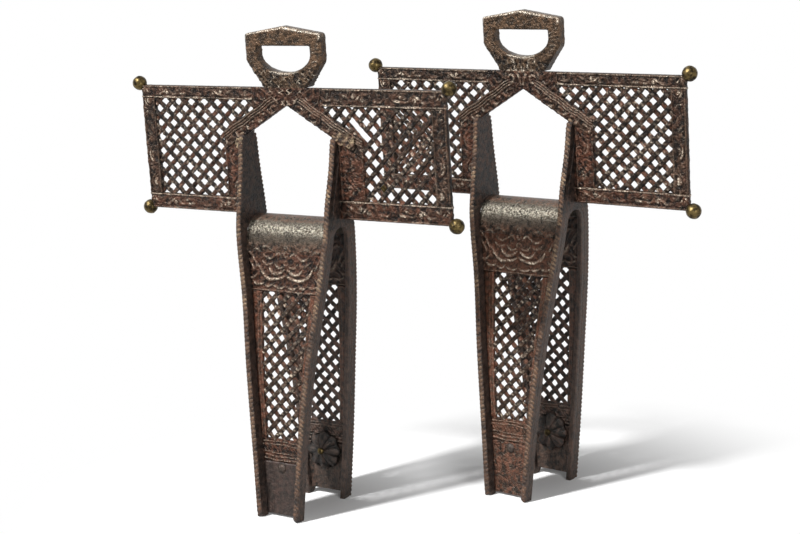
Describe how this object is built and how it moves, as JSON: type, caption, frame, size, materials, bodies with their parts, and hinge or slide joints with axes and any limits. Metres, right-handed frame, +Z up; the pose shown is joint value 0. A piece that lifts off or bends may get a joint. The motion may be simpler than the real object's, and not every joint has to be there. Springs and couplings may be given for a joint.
{
  "type": "cruciform stirrups",
  "caption": "Cruciform wrought-iron stirrups with pierced lattice wings, brass ball finials, a gabled foot opening, a strap eye on top and splayed openwork legs.",
  "frame": {"origin": "centre of the bounding box of both stirrups, on the floor that the feet stand on", "axes": "+X along the arms of the left stirrup's cross, +Y from its front to its back, +Z up; the right stirrup stands behind it to the right, turned a few degrees"},
  "size_m": [0.5394, 0.2322, 0.454],
  "materials": {
    "iron": "dark brown patinated wrought iron, chiselled and rust-flecked",
    "worn_iron": "iron worn bright and pitted where a boot rubs",
    "brass": "tarnished cast brass"
  },
  "bodies": {
    "root": {"left_stirrup_strap_eye": "iron", "left_stirrup_gable": "iron", "left_stirrup_left_wing": "iron", "left_stirrup_right_wing": "iron", "left_stirrup_left_side_plate": "iron", "left_stirrup_right_side_plate": "iron", "left_stirrup_tread": "worn_iron", "left_stirrup_front_leg_plate": "iron", "left_stirrup_back_leg_plate": "iron", "left_stirrup_front_rivet": "iron", "left_stirrup_rosette": "iron", "left_stirrup_rosette_rivet": "brass", "left_stirrup_top_left_ball": "brass", "left_stirrup_top_right_ball": "brass", "left_stirrup_bottom_left_ball": "brass", "left_stirrup_bottom_right_ball": "brass", "right_stirrup_strap_eye": "iron", "right_stirrup_gable": "iron", "right_stirrup_left_wing": "iron", "right_stirrup_right_wing": "iron", "right_stirrup_left_side_plate": "iron", "right_stirrup_right_side_plate": "iron", "right_stirrup_tread": "worn_iron", "right_stirrup_front_leg_plate": "iron", "right_stirrup_back_leg_plate": "iron", "right_stirrup_front_rivet": "iron", "right_stirrup_rosette": "iron", "right_stirrup_rosette_rivet": "brass", "right_stirrup_top_left_ball": "brass", "right_stirrup_top_right_ball": "brass", "right_stirrup_bottom_left_ball": "brass", "right_stirrup_bottom_right_ball": "brass"}
  },
  "joints": []
}
